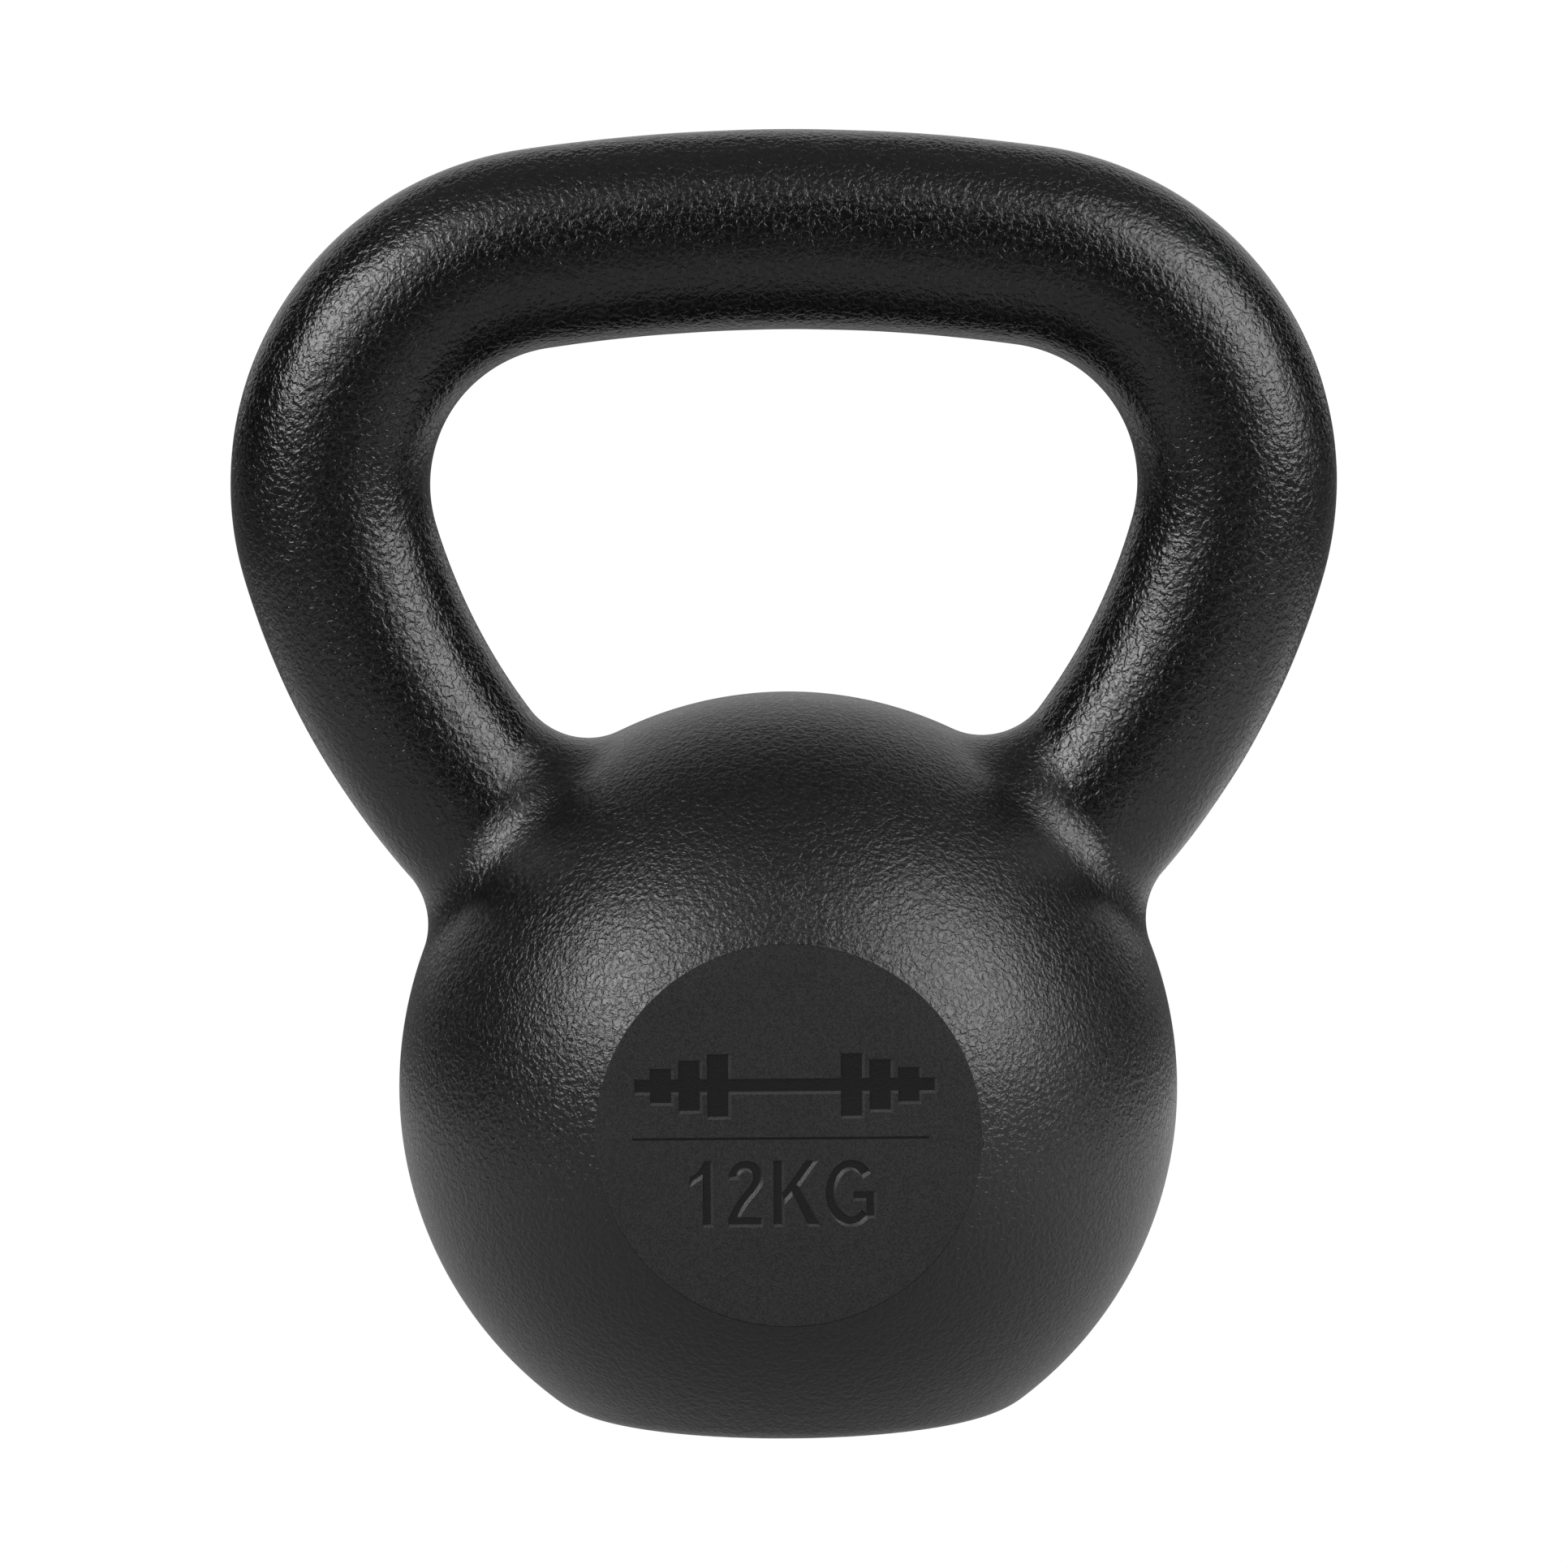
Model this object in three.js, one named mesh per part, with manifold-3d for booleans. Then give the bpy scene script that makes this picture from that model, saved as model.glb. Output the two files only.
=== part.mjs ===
// A 12 kg kettlebell: an iron bell, a round bar bent into the handle and cast into the bell, two inlaid weight
// discs, and a calibration bore in the base closed by a plug.
// Millimetres, +Z up. The origin is the middle of the base, on the floor. The handle spans X and the front weight
// disc faces -Y.

import * as THREE from 'three';
import { mergeVertices } from 'three/addons/utils/BufferGeometryUtils.js';
import Module from 'manifold-3d';

// Bell: a ball with a slightly taller upper half, standing on a flat with a rounded edge.
const BALL_RADIUS = 69.4;
const UPPER_STRETCH = 1.017;
const BALL_CENTRE_HEIGHT = 57.5;
const BASE_EDGE_RADIUS = 12;

// Handle: one bar whose centreline is a chain of tangent arcs, from the middle of the grip down to each root.
const BAR_RADIUS = 17.75;
const GRIP_HEIGHT = 211.2;
const ARCS = [
  { radius: 306, degrees: 8.3 },
  { radius: 42.5, degrees: 97.6 },
  { radius: 122.7, degrees: 38.5 },
];

// Collars: the fillets of the bell that run up the legs, each ending in a thin lip. They are wide in the plane of
// the handle and tighter at the front and the rear.
const SIDE_FILLET_RADIUS = 13.5;
const FRONT_FILLET_RADIUS = 8.5;
const LIP_FROM_BAR = 0.6;

// Weight discs, let into the front and the rear of the ball.
const DISC_RADIUS = 33.6;
const DISC_THICKNESS = 2.4;
const DISC_EDGE = 0.3;
const DISC_FACE_DISTANCE = 60.4;
const DISC_CENTRE_HEIGHT = 57.9;

// Calibration bore in the base, its plug and the slug behind it.
const PLUG_RADIUS = 11;
const PLUG_LENGTH = 9;
const PLUG_RECESS = 0.8;
const KEY_RADIUS = 3.5;
const KEY_DEPTH = 5;
const BORE_RADIUS = 9;
const BORE_TOP = 52;
const SLUG_LENGTH = 18;

// The fit between neighbouring pieces, and the fineness of the round shapes.
const GAP = 0.3;
const BALL_SIDES = 60;
const BALL_STEPS = 10;
const EDGE_STEPS = 3;
const BAR_SIDES = 28;
const GRIP_STEPS = 48;
const COLLAR_SIDES = 36;
const COLLAR_STEPS = 5;

const PAINTED_IRON = { color: 0x1b1b1c, roughness: 0.42, metalness: 0.15 };
const MATT_FACE = { color: 0x232324, roughness: 0.7, metalness: 0.1 };
const BARE_STEEL = { color: 0x6d6e70, roughness: 0.45, metalness: 0.9 };

const wasm = await Module();
wasm.setup();

const ballCentre = new THREE.Vector3(0, 0, BALL_CENTRE_HEIGHT);

/** A three.js geometry as a manifold solid. */
function solid(geometry) {
  const bare = geometry.clone();
  bare.deleteAttribute('normal');
  bare.deleteAttribute('uv');
  const merged = mergeVertices(bare, 1e-4);
  const vertProperties = new Float32Array(merged.attributes.position.array);
  const triVerts = new Uint32Array(merged.index.array);
  return new wasm.Manifold(new wasm.Mesh({ numProp: 3, vertProperties, triVerts }));
}

/** A manifold solid as a three.js geometry. */
function geometryOf(body) {
  const mesh = body.getMesh();
  const geometry = new THREE.BufferGeometry();
  geometry.setAttribute('position', new THREE.BufferAttribute(mesh.vertProperties, 3));
  geometry.setIndex(new THREE.BufferAttribute(mesh.triVerts, 1));
  geometry.computeVertexNormals();
  return geometry;
}

/** A closed body turned round the Z axis from [radius, height] points that run upwards. */
function turned(points, sides) {
  const profile = points.map(([radius, height]) => new THREE.Vector2(radius, height));
  return new THREE.LatheGeometry(profile, sides).rotateX(Math.PI / 2);
}

/** A closed skin over rings of points, each with the same number, and a point at either end. */
function skin(rings, first, last) {
  const count = rings[0].length;
  const positions = [...rings.flat(), first, last].flatMap((p) => p.toArray());
  const firstIndex = rings.length * count;
  const index = [];
  for (let side = 0; side < count; side += 1) {
    const next = (side + 1) % count;
    index.push(firstIndex, next, side);
    for (let ring = 0; ring + 1 < rings.length; ring += 1) {
      const low = ring * count;
      const high = low + count;
      index.push(low + side, low + next, high + next);
      index.push(low + side, high + next, high + side);
    }
    const end = (rings.length - 1) * count;
    index.push(firstIndex + 1, end + side, end + next);
  }
  const geometry = new THREE.BufferGeometry();
  geometry.setAttribute('position', new THREE.Float32BufferAttribute(positions, 3));
  geometry.setIndex(index);
  return geometry;
}

/** Half of the handle's centreline in the XZ plane, on the side given by sign, with its length as parameter. */
class Leg extends THREE.Curve {
  constructor(sign) {
    super();
    this.sign = sign;
    this.total = ARCS.reduce((sum, arc) => sum + arc.radius * THREE.MathUtils.degToRad(arc.degrees), 0);
  }

  /** The point and the heading, an angle turned down from X, after a given length along the leg. */
  at(length) {
    let x = 0;
    let z = GRIP_HEIGHT;
    let heading = 0;
    let left = length;
    for (const { radius, degrees } of ARCS) {
      const turn = Math.min(left / radius, THREE.MathUtils.degToRad(degrees));
      x += radius * (Math.sin(heading + turn) - Math.sin(heading));
      z -= radius * (Math.cos(heading) - Math.cos(heading + turn));
      heading += turn;
      left -= turn * radius;
    }
    return { point: new THREE.Vector3(this.sign * x, 0, z), heading };
  }

  /** The point on the bar's surface, or at another distance from its centreline, at an angle round it. */
  around(length, angle, distance) {
    const { point, heading } = this.at(length);
    const outward = new THREE.Vector3(this.sign * Math.sin(heading), 0, Math.cos(heading));
    return point
      .addScaledVector(outward, distance * Math.cos(angle))
      .add(new THREE.Vector3(0, distance * Math.sin(angle), 0));
  }

  getPoint(t) {
    return this.at(t * this.total).point;
  }
}

/** The whole centreline, from the left root over the grip to the right root. */
class Centreline extends THREE.Curve {
  constructor() {
    super();
    this.left = new Leg(-1);
    this.right = new Leg(1);
  }

  getPoint(t) {
    return t < 0.5 ? this.left.getPoint(1 - 2 * t) : this.right.getPoint(2 * t - 1);
  }
}

/** The bar swept along the centreline with a given radius. */
function bar(radius) {
  const section = new THREE.Shape();
  section.absarc(0, 0, radius, 0, 2 * Math.PI, false);
  return new THREE.ExtrudeGeometry(section, {
    steps: GRIP_STEPS,
    curveSegments: BAR_SIDES / 2,
    extrudePath: new Centreline(),
  });
}

/** The ball's surface distance from its centre in a direction. */
function ballReach(direction) {
  const across = Math.hypot(direction.x, direction.y);
  const up = direction.z > 0 ? direction.z / UPPER_STRETCH : direction.z;
  return BALL_RADIUS / Math.hypot(across, up);
}

/** The ball with its flat base: base, rounded edge, lower half and taller upper half. */
function ball() {
  const edgeHeight = BALL_CENTRE_HEIGHT - BASE_EDGE_RADIUS;
  const edgeReach = BALL_RADIUS - BASE_EDGE_RADIUS;
  const edgeAngle = Math.asin(edgeHeight / edgeReach);
  const flatRadius = edgeReach * Math.cos(edgeAngle);
  const points = [[0, 0]];
  for (let step = 0; step <= EDGE_STEPS; step += 1) {
    const angle = THREE.MathUtils.lerp(Math.PI / 2, edgeAngle, step / EDGE_STEPS);
    points.push([
      flatRadius + BASE_EDGE_RADIUS * Math.cos(angle),
      BASE_EDGE_RADIUS * (1 - Math.sin(angle)),
    ]);
  }
  for (let step = 1; step <= BALL_STEPS; step += 1) {
    const angle = THREE.MathUtils.lerp(-edgeAngle, 0, step / BALL_STEPS);
    points.push([BALL_RADIUS * Math.cos(angle), BALL_CENTRE_HEIGHT + BALL_RADIUS * Math.sin(angle)]);
  }
  for (let step = 1; step < 2 * BALL_STEPS; step += 1) {
    const angle = (step / (2 * BALL_STEPS)) * (Math.PI / 2);
    points.push([
      BALL_RADIUS * Math.cos(angle),
      BALL_CENTRE_HEIGHT + UPPER_STRETCH * BALL_RADIUS * Math.sin(angle),
    ]);
  }
  points.push([0, BALL_CENTRE_HEIGHT + UPPER_STRETCH * BALL_RADIUS]);
  return turned(points, BALL_SIDES);
}

/** The fillet's radius at an angle round the bar, where 0 is the outer side of the leg. */
function filletRadius(angle) {
  return THREE.MathUtils.lerp(FRONT_FILLET_RADIUS, SIDE_FILLET_RADIUS, Math.cos(angle) ** 2);
}

/** The length along a leg where a ball of the fillet's radius, beside the bar at an angle, touches the bell. */
function filletLength(leg, angle, radius) {
  let above = leg.total / 2;
  let below = leg.total;
  for (let pass = 0; pass < 40; pass += 1) {
    const middle = (above + below) / 2;
    const offset = leg.around(middle, angle, BAR_RADIUS + radius).sub(ballCentre);
    const direction = offset.clone().normalize();
    if (offset.length() > ballReach(direction) + radius) above = middle;
    else below = middle;
  }
  return (above + below) / 2;
}

/** One collar: the rolled fillet between a leg and the ball, closed inside the ball. */
function collar(leg) {
  const rings = Array.from({ length: COLLAR_STEPS + 2 }, () => []);
  for (let side = 0; side < COLLAR_SIDES; side += 1) {
    const angle = (side / COLLAR_SIDES) * 2 * Math.PI;
    const radius = filletRadius(angle);
    const lipAngle = Math.acos(1 - LIP_FROM_BAR / radius);
    const length = filletLength(leg, angle, radius);
    const centre = leg.around(length, angle, BAR_RADIUS + radius);
    const toBar = leg.around(length, angle, BAR_RADIUS).sub(centre).normalize();
    const toBall = ballCentre.clone().sub(centre).normalize();
    const sweep = toBar.angleTo(toBall);
    for (let step = 0; step <= COLLAR_STEPS; step += 1) {
      const turn = THREE.MathUtils.lerp(sweep, lipAngle, step / COLLAR_STEPS);
      const direction = toBar.clone().multiplyScalar(Math.sin(sweep - turn));
      direction.addScaledVector(toBall, Math.sin(turn)).divideScalar(Math.sin(sweep));
      rings[step + 1].push(centre.clone().addScaledVector(direction, radius));
    }
    rings[0].push(rings[1][side].clone().lerp(ballCentre, 0.2));
  }
  const inside = rings[0].reduce((sum, p) => sum.add(p), new THREE.Vector3()).divideScalar(COLLAR_SIDES);
  const lip = rings.at(-1).reduce((sum, p) => sum.add(p), new THREE.Vector3()).divideScalar(COLLAR_SIDES);
  return leg.sign > 0 ? skin(rings, inside, lip) : skin(rings.map((ring) => ring.toReversed()), inside, lip);
}

/** A round body on an axis along Y, between two distances in front of the ball's centre. */
function facing(points, sides, front) {
  const body = turned(points, sides).rotateX(Math.PI / 2);
  if (!front) body.rotateZ(Math.PI);
  return body.translate(0, 0, DISC_CENTRE_HEIGHT);
}

/** A weight disc with a small chamfer round its face. */
function weightDisc(front) {
  const back = DISC_FACE_DISTANCE - DISC_THICKNESS;
  return facing(
    [
      [0, back],
      [DISC_RADIUS, back],
      [DISC_RADIUS, DISC_FACE_DISTANCE - DISC_EDGE],
      [DISC_RADIUS - DISC_EDGE, DISC_FACE_DISTANCE],
      [0, DISC_FACE_DISTANCE],
    ],
    BALL_SIDES,
    front,
  );
}

/** The room that a weight disc sits in, open to the outside. */
function discSeat(front) {
  const floor = DISC_FACE_DISTANCE - DISC_THICKNESS - GAP;
  const points = [[0, floor], [DISC_RADIUS + GAP, floor], [DISC_RADIUS + GAP, BALL_RADIUS + 1], [0, BALL_RADIUS + 1]];
  return facing(points, BALL_SIDES, front);
}

/** The stepped hole in the base for the plug and the slug. */
function calibrationBore() {
  const shoulder = PLUG_RECESS + PLUG_LENGTH + GAP;
  return turned(
    [
      [0, -1],
      [PLUG_RADIUS + GAP, -1],
      [PLUG_RADIUS + GAP, shoulder],
      [BORE_RADIUS + GAP, shoulder],
      [BORE_RADIUS + GAP, BORE_TOP],
      [0, BORE_TOP],
    ],
    BAR_SIDES,
  );
}

/** The base plug with a six-sided key recess in its lower face. */
function basePlug() {
  const body = turned(
    [
      [0, PLUG_RECESS],
      [PLUG_RADIUS, PLUG_RECESS],
      [PLUG_RADIUS, PLUG_RECESS + PLUG_LENGTH],
      [0, PLUG_RECESS + PLUG_LENGTH],
    ],
    BAR_SIDES,
  );
  const keyTop = PLUG_RECESS + KEY_DEPTH;
  const key = turned([[0, -1], [KEY_RADIUS, -1], [KEY_RADIUS, keyTop], [0, keyTop]], 6);
  return geometryOf(solid(body).subtract(solid(key)));
}

/** The slug that brings the kettlebell to its weight, resting on the plug. */
function calibrationSlug() {
  const bottom = PLUG_RECESS + PLUG_LENGTH + 2 * GAP;
  const top = bottom + SLUG_LENGTH;
  return turned([[0, bottom], [BORE_RADIUS, bottom], [BORE_RADIUS, top], [0, top]], BAR_SIDES);
}

/** The bell: ball and collars in one casting, cut for the bar, the discs and the calibration bore. */
function bell() {
  const cuts = [bar(BAR_RADIUS + GAP), discSeat(true), discSeat(false), calibrationBore()];
  let body = solid(ball()).add(solid(collar(new Leg(-1)))).add(solid(collar(new Leg(1))));
  for (const cut of cuts) body = body.subtract(solid(cut));
  return geometryOf(body);
}

/** A named piece with its own material. */
function piece(name, geometry, finish) {
  const mesh = new THREE.Mesh(geometry, new THREE.MeshStandardMaterial(finish));
  mesh.name = name;
  return mesh;
}

const kettlebell = new THREE.Group();
kettlebell.add(
  piece('bell', bell(), PAINTED_IRON),
  piece('handle', bar(BAR_RADIUS), PAINTED_IRON),
  piece('front_weight_disc', weightDisc(true), MATT_FACE),
  piece('rear_weight_disc', weightDisc(false), MATT_FACE),
  piece('base_plug', basePlug(), PAINTED_IRON),
  piece('calibration_slug', calibrationSlug(), BARE_STEEL),
);

export default kettlebell;
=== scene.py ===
"""A 12 kg cast iron kettlebell with a black wrinkle powder coat, built round its CAD frame.

Lengths are metres in the frame's own axes: +Z up, the grip along X, the front weight disc facing
-Y, and the origin in the middle of the base, on the floor.
"""

import logging
import math
from dataclasses import dataclass, field
from enum import Enum
from typing import Any, Callable, Iterable, Optional, Sequence

import bpy
import numpy as np
from mathutils import Euler, Matrix, Vector


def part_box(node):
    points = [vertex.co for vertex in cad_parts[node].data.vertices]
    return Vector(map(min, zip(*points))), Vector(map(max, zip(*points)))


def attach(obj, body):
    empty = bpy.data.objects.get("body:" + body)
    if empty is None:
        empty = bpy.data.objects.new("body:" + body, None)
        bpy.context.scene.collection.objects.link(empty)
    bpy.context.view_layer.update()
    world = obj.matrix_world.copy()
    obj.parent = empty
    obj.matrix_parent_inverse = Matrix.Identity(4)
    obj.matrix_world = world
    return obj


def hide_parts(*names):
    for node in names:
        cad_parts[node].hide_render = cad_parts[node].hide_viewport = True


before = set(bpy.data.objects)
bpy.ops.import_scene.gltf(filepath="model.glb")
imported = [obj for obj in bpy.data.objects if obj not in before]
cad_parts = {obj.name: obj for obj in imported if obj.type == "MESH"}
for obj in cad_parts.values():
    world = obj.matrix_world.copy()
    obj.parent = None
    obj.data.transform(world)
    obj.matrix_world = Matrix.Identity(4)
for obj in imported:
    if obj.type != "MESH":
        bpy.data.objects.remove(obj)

log = logging.getLogger("kettlebell")

MM = 0.001
BODY = "root"
VIEW_CENTRE = (-0.35 * MM, 0.0, 112.0 * MM)
TINY = 1e-9
COAT_IOR = 1.5

Points = np.ndarray
Mover = Callable[[Points], Points]


# ------------------------------------------------------------------------------------- node trees


class Wire:
    """A node socket's value in a shader, whose arithmetic adds Math nodes."""

    def __init__(self, tree: "ShaderTree", socket: bpy.types.NodeSocket) -> None:
        """Wraps an output socket of a tree."""
        self.tree = tree
        self.socket = socket

    def maths(self, operation: str, *values: Any) -> "Wire":
        """Adds one Math node.

        Args:
            operation: the Math node's operation.
            values: its inputs in order, wires or numbers.

        Returns:
            The node's result.
        """
        return self.tree.node("ShaderNodeMath", {"operation": operation}, dict(enumerate(values)))

    def __add__(self, other: Any) -> "Wire":
        """This value plus another."""
        return self.maths("ADD", self, other)

    __radd__ = __add__

    def __sub__(self, other: Any) -> "Wire":
        """This value less another."""
        return self.maths("SUBTRACT", self, other)

    def __rsub__(self, other: Any) -> "Wire":
        """Another value less this one."""
        return self.maths("SUBTRACT", other, self)

    def __mul__(self, other: Any) -> "Wire":
        """This value times another."""
        return self.maths("MULTIPLY", self, other)

    __rmul__ = __mul__

    def magnitude(self) -> "Wire":
        """This value without its sign."""
        return self.maths("ABSOLUTE", self)

    def between(self, low: float, high: float) -> "Wire":
        """A smooth step of this value.

        Args:
            low: the value that gives 0, as every smaller one does.
            high: the value that gives 1, as every larger one does.

        Returns:
            The step.
        """
        settings = {"interpolation_type": "SMOOTHSTEP"}
        inputs = {"Value": self, "From Min": low, "From Max": high}
        return self.tree.node("ShaderNodeMapRange", settings, inputs)


class ShaderTree:
    """A material's nodes, ending in one Principled shader."""

    def __init__(self, name: str) -> None:
        """Starts an empty material with that name."""
        self.material = bpy.data.materials.new(name)
        self.material.use_nodes = True
        self.tree = self.material.node_tree
        self.tree.nodes.clear()

    def node(
        self, kind: str, settings: dict[str, Any], inputs: dict[Any, Any], output: Any = 0
    ) -> Wire:
        """Adds a node.

        Args:
            kind: the node's type.
            settings: its properties, set before its sockets.
            inputs: socket name or number to a wire or a plain value.
            output: the output socket's name or number.

        Returns:
            The chosen output.
        """
        made = self.tree.nodes.new(kind)
        for name, value in settings.items():
            setattr(made, name, value)
        for name, value in inputs.items():
            if isinstance(value, Wire):
                self.tree.links.new(value.socket, made.inputs[name])
            else:
                made.inputs[name].default_value = value
        return Wire(self, made.outputs[output])

    def place(self) -> Wire:
        """The point's place in the frame."""
        return self.node("ShaderNodeTexCoord", {}, {}, "Object")

    def noise(
        self, size: float, detail: float = 2.0, roughness: float = 0.5, distortion: float = 0.0
    ) -> Wire:
        """Smooth noise in the frame's own space.

        Args:
            size: how far apart its lumps are, in metres.
            detail: how many finer layers it has.
            roughness: how strong the finer layers are.
            distortion: how far the lumps are dragged into worms.

        Returns:
            The noise, from 0 to 1.
        """
        inputs = {
            "Vector": self.place(),
            "Scale": 1.0 / size,
            "Detail": detail,
            "Roughness": roughness,
            "Distortion": distortion,
        }
        return self.node("ShaderNodeTexNoise", {}, inputs, "Fac")

    def blend(self, factor: Wire, low: Any, high: Any) -> Wire:
        """A colour between two, by a factor.

        Args:
            factor: 0 gives the first colour, 1 the second.
            low: the first colour, a wire or its red, green and blue.
            high: the second colour.

        Returns:
            The mixed colour.
        """
        ends = [end if isinstance(end, Wire) else (*end, 1.0) for end in (low, high)]
        inputs = {"Factor": factor, 6: ends[0], 7: ends[1]}
        return self.node("ShaderNodeMix", {"data_type": "RGBA"}, inputs, 2)

    def bump(self, height: Wire, depth: float, normal: Optional[Wire] = None) -> Wire:
        """A bumped normal.

        Args:
            height: the relief, from 0 to 1.
            depth: how deep a relief of 1 is, in metres.
            normal: a normal that this one is added to.

        Returns:
            The normal.
        """
        inputs: dict[Any, Any] = {"Height": height, "Distance": depth, "Strength": 1.0}
        if normal is not None:
            inputs["Normal"] = normal
        return self.node("ShaderNodeBump", {}, inputs)

    def finish(self, inputs: dict[Any, Any]) -> bpy.types.Material:
        """Ends the tree in a Principled shader.

        Args:
            inputs: the shader's socket names to wires or plain values.

        Returns:
            The finished material.
        """
        shader = self.node("ShaderNodeBsdfPrincipled", {}, inputs)
        out = self.tree.nodes.new("ShaderNodeOutputMaterial")
        self.tree.links.new(shader.socket, out.inputs["Surface"])
        return self.material


class ShapeTree:
    """A Geometry Nodes tree with named inputs, which turns one object's mesh into another."""

    def __init__(self, name: str) -> None:
        """Starts a tree with a geometry input and output."""
        self.tree = bpy.data.node_groups.new(name, "GeometryNodeTree")
        self.tree.interface.new_socket("Geometry", in_out="INPUT", socket_type="NodeSocketGeometry")
        self.tree.interface.new_socket("Geometry", in_out="OUTPUT", socket_type="NodeSocketGeometry")
        self.entry = self.tree.nodes.new("NodeGroupInput")
        self.values: dict[str, Any] = {}

    def named(self, name: str, kind: str, value: Any) -> bpy.types.NodeSocket:
        """Adds a named input.

        Args:
            name: the input's name.
            kind: its socket type.
            value: what the modifier sets it to.

        Returns:
            The socket that carries it inside the tree.
        """
        item = self.tree.interface.new_socket(name, in_out="INPUT", socket_type=kind)
        self.values[item.identifier] = value
        return self.entry.outputs[name]

    def node(self, kind: str, inputs: dict[Any, Any], **settings: Any) -> bpy.types.NodeSocket:
        """Adds a node.

        Args:
            kind: the node's type.
            inputs: socket name or number to a socket or a plain value.
            settings: the node's properties.

        Returns:
            Its first output socket.
        """
        made = self.tree.nodes.new(kind)
        for name, value in settings.items():
            setattr(made, name, value)
        for name, value in inputs.items():
            if isinstance(value, bpy.types.NodeSocket):
                self.tree.links.new(value, made.inputs[name])
            else:
                made.inputs[name].default_value = value
        return made.outputs[0]

    def apply(
        self, piece: bpy.types.Object, shape: bpy.types.NodeSocket, material: bpy.types.NodeSocket
    ) -> None:
        """Ends the tree, runs it on a piece and leaves the result as the piece's plain mesh.

        Args:
            piece: the object whose mesh goes in and comes out.
            shape: the tree's last geometry.
            material: the socket that carries the piece's material.
        """
        whole = self.node("GeometryNodeRealizeInstances", {"Geometry": shape})
        dressed = self.node("GeometryNodeSetMaterial", {"Geometry": whole, "Material": material})
        leave = self.tree.nodes.new("NodeGroupOutput")
        self.tree.links.new(dressed, leave.inputs[0])
        modifier = piece.modifiers.new(self.tree.name, "NODES")
        modifier.node_group = self.tree
        for identifier, value in self.values.items():
            modifier[identifier] = value
        bake_modifiers(piece)


# ----------------------------------------------------------------------------------- mesh helpers


def new_piece(name: str, mesh: bpy.types.Mesh) -> bpy.types.Object:
    """Adds an object to the scene.

    Args:
        name: the piece's name.
        mesh: its mesh, already in place.

    Returns:
        The object, at the origin.
    """
    piece = bpy.data.objects.new(name, mesh)
    bpy.context.scene.collection.objects.link(piece)
    return piece


def mesh_of(
    name: str, points: Iterable[Sequence[float]], edges: list, faces: list
) -> bpy.types.Mesh:
    """A mesh from plain lists.

    Args:
        name: the mesh's name.
        points: its vertices.
        edges: its loose edges.
        faces: its faces.

    Returns:
        The mesh.
    """
    mesh = bpy.data.meshes.new(name)
    mesh.from_pydata([tuple(p) for p in points], edges, faces)
    mesh.update()
    return mesh


def bake_modifiers(piece: bpy.types.Object) -> None:
    """Replaces a piece's mesh by the result of its modifiers, and removes them."""
    evaluated = piece.evaluated_get(bpy.context.evaluated_depsgraph_get())
    mesh = bpy.data.meshes.new_from_object(evaluated)
    piece.modifiers.clear()
    old = piece.data
    piece.data = mesh
    bpy.data.meshes.remove(old)


def discard(tool: bpy.types.Object) -> None:
    """Deletes a helper object with its mesh."""
    mesh = tool.data
    bpy.data.objects.remove(tool)
    bpy.data.meshes.remove(mesh)


def turned(name: str, profile: Sequence[tuple[float, float]], sides: int) -> bpy.types.Mesh:
    """A closed body turned round Z.

    Args:
        name: the mesh's name.
        profile: radius and height of each ring, upwards. A radius of 0 is a pole.
        sides: how many facets go round.

    Returns:
        The mesh, with its faces outwards.
    """
    points: list[tuple[float, float, float]] = []
    rings: list[list[int]] = []
    for radius, height in profile:
        count = sides if radius > 0 else 1
        rings.append(list(range(len(points), len(points) + count)))
        for side in range(count):
            angle = 2 * math.pi * side / sides
            points.append((radius * math.cos(angle), radius * math.sin(angle), height))
    faces = []
    for low, high in zip(rings, rings[1:]):
        for side in range(sides):
            after = (side + 1) % sides
            if len(low) == 1:
                faces.append((low[0], high[after], high[side]))
            elif len(high) == 1:
                faces.append((low[side], low[after], high[0]))
            else:
                faces.append((low[side], low[after], high[after], high[side]))
    return mesh_of(name, points, [], faces)


def cut(piece: bpy.types.Object, tools: Sequence[bpy.types.Object]) -> None:
    """Cuts tools out of a piece and throws the tools away.

    Args:
        piece: the object to cut.
        tools: closed objects that are taken out of it.
    """
    for tool in tools:
        modifier = piece.modifiers.new(tool.name, "BOOLEAN")
        modifier.operation = "DIFFERENCE"
        modifier.solver = "MANIFOLD"
        modifier.object = tool
    bake_modifiers(piece)
    for tool in tools:
        discard(tool)


def dress(piece: bpy.types.Object, finish: bpy.types.Material) -> None:
    """Gives a piece one finish in place of any that it has."""
    piece.data.materials.clear()
    piece.data.materials.append(finish)


def smooth(piece: bpy.types.Object, sharp_degrees: float) -> None:
    """Shades a piece smooth, with its edges over an angle left sharp."""
    piece.data.shade_smooth()
    piece.data.set_sharp_from_angle(angle=math.radians(sharp_degrees))


def vertices_of(mesh: bpy.types.Mesh) -> Points:
    """A mesh's vertices as rows of three numbers."""
    flat = np.empty(len(mesh.vertices) * 3)
    mesh.vertices.foreach_get("co", flat)
    return flat.reshape(-1, 3)


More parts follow.
